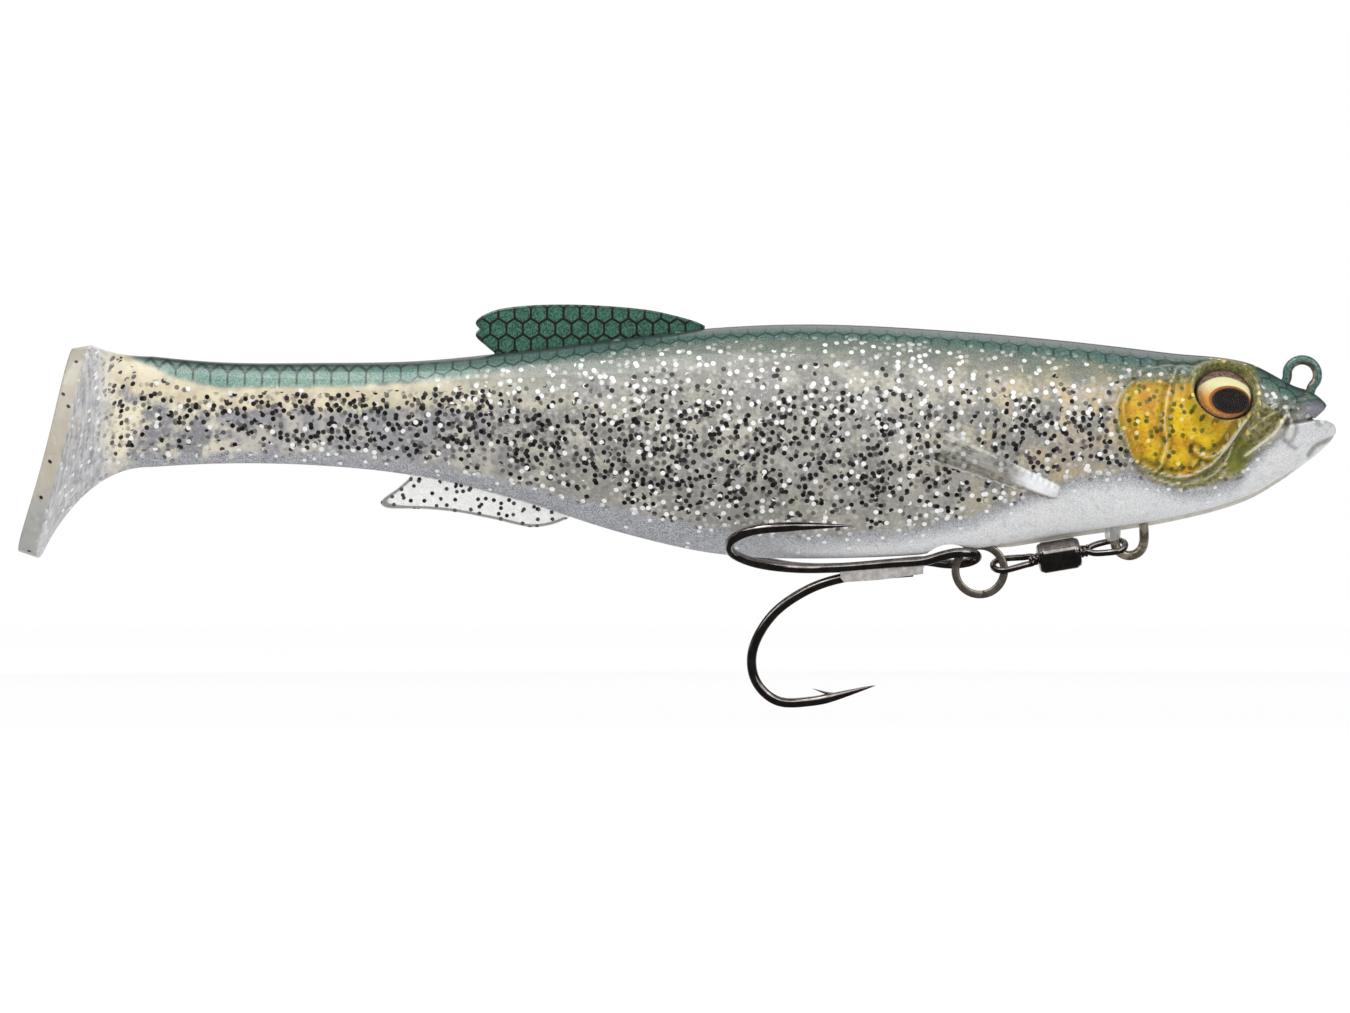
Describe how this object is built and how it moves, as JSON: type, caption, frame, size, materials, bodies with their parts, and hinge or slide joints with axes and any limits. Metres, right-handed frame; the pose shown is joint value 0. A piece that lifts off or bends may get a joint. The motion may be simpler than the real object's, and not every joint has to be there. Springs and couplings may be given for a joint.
{
  "type": "soft paddle-tail fishing lure",
  "caption": "Soft fish-shaped swimming lure with a paddle tail, folding fins, domed eyes, a wire line tie and belly loop, a barrel swivel, a split ring and a treble hook.",
  "frame": {"origin": "centre of the wire line tie's loop above the nose", "axes": "+X out of the nose, +Z out of the back, +Y to the fish's left"},
  "size_m": [0.2024, 0.0364, 0.0617],
  "materials": {
    "body": "glossy translucent soft plastic with flake",
    "rear_body": "glossy translucent soft plastic with flake",
    "flex_skin": "glossy translucent soft plastic with flake",
    "paddle": "glossy translucent soft plastic, olive over cream",
    "dorsal_fin": "glossy dark green soft plastic with a net pattern",
    "anal_fin": "clear soft plastic with dark flake",
    "iris": "gold foil print",
    "pupil": "gloss black",
    "lens": "clear domed resin",
    "harness": "bright drawn wire",
    "ballast": "dull cast metal",
    "magnet": "plated",
    "hardware": "black nickel plating",
    "ring": "black nickel plating"
  },
  "bodies": {
    "trunk": {"head_and_trunk": "body", "trunk_flex_zone": "flex_skin", "eye_disc_right": "iris", "eye_disc_left": "iris", "eye_pupil_right": "pupil", "eye_pupil_left": "pupil", "eye_lens_right": "lens", "eye_lens_left": "lens", "harness_wire": "harness", "ballast_weight": "ballast", "belly_magnet": "magnet"},
    "rear_body": {"rear_trunk": "rear_body", "peduncle_flex_zone": "flex_skin"},
    "peduncle": {"tail_peduncle": "rear_body", "paddle_flex_zone": "flex_skin"},
    "paddle": {"paddle_tail": "paddle"},
    "back_fin": {"dorsal_fin": "dorsal_fin"},
    "belly_fin": {"anal_fin": "anal_fin"},
    "swivel_front": {"swivel_front_eye": "hardware"},
    "barrel": {"swivel_barrel": "hardware"},
    "swivel_rear": {"swivel_rear_eye": "hardware"},
    "ring": {"split_ring": "ring"},
    "hook": {"treble_twin_prongs": "hardware", "treble_third_prong": "hardware"}
  },
  "joints": [
    {"name": "trunk_flex", "type": "hinge", "parent": "trunk", "child": "rear_body", "pos_m": [-0.09, 0, -0.01], "axis": [0, 0, 1], "range_deg": [-15, 15], "stiffness_Nm_per_rad": 0.06, "deforming": ["trunk_flex_zone"]},
    {"name": "peduncle_flex", "type": "hinge", "parent": "rear_body", "child": "peduncle", "pos_m": [-0.143, 0, -0.006], "axis": [0, 0, 1], "range_deg": [-30, 30], "stiffness_Nm_per_rad": 0.015, "deforming": ["peduncle_flex_zone"]},
    {"name": "paddle_kick", "type": "hinge", "parent": "peduncle", "child": "paddle", "pos_m": [-0.18, 0, -0.006], "axis": [0, 0, 1], "range_deg": [-50, 50], "stiffness_Nm_per_rad": 0.003, "deforming": ["paddle_flex_zone"]},
    {"name": "dorsal_fin_fold", "type": "hinge", "parent": "rear_body", "child": "back_fin", "pos_m": [-0.1088, 0, 0.0058], "axis": [0.9923, 0, 0.1238], "range_deg": [-35, 35], "stiffness_Nm_per_rad": 0.0006},
    {"name": "anal_fin_fold", "type": "hinge", "parent": "rear_body", "child": "belly_fin", "pos_m": [-0.125, 0, -0.0187], "axis": [0.9704, 0, -0.2416], "range_deg": [-35, 35], "stiffness_Nm_per_rad": 0.0004},
    {"name": "swivel_swing", "type": "hinge", "parent": "trunk", "child": "swivel_front", "pos_m": [-0.0267, 0, -0.0254], "axis": [0, -1, 0], "range_deg": [0, 80]},
    {"name": "barrel_spin", "type": "hinge", "parent": "swivel_front", "child": "barrel", "pos_m": [-0.0375, 0, -0.0276], "axis": [0.9863, 0, 0.165], "continuous": true},
    {"name": "rear_eye_spin", "type": "hinge", "parent": "swivel_front", "child": "swivel_rear", "pos_m": [-0.0375, 0, -0.0276], "axis": [0.9863, 0, 0.165], "range_deg": [-6, 6]},
    {"name": "ring_swing", "type": "hinge", "parent": "swivel_rear", "child": "ring", "pos_m": [-0.04766, 0, -0.0293], "axis": [0, -1, 0], "range_deg": [0, 40]},
    {"name": "hook_swing", "type": "hinge", "parent": "ring", "child": "hook", "pos_m": [-0.0497, 0, -0.0299], "axis": [0, -1, 0], "range_deg": [0, 50]}
  ]
}
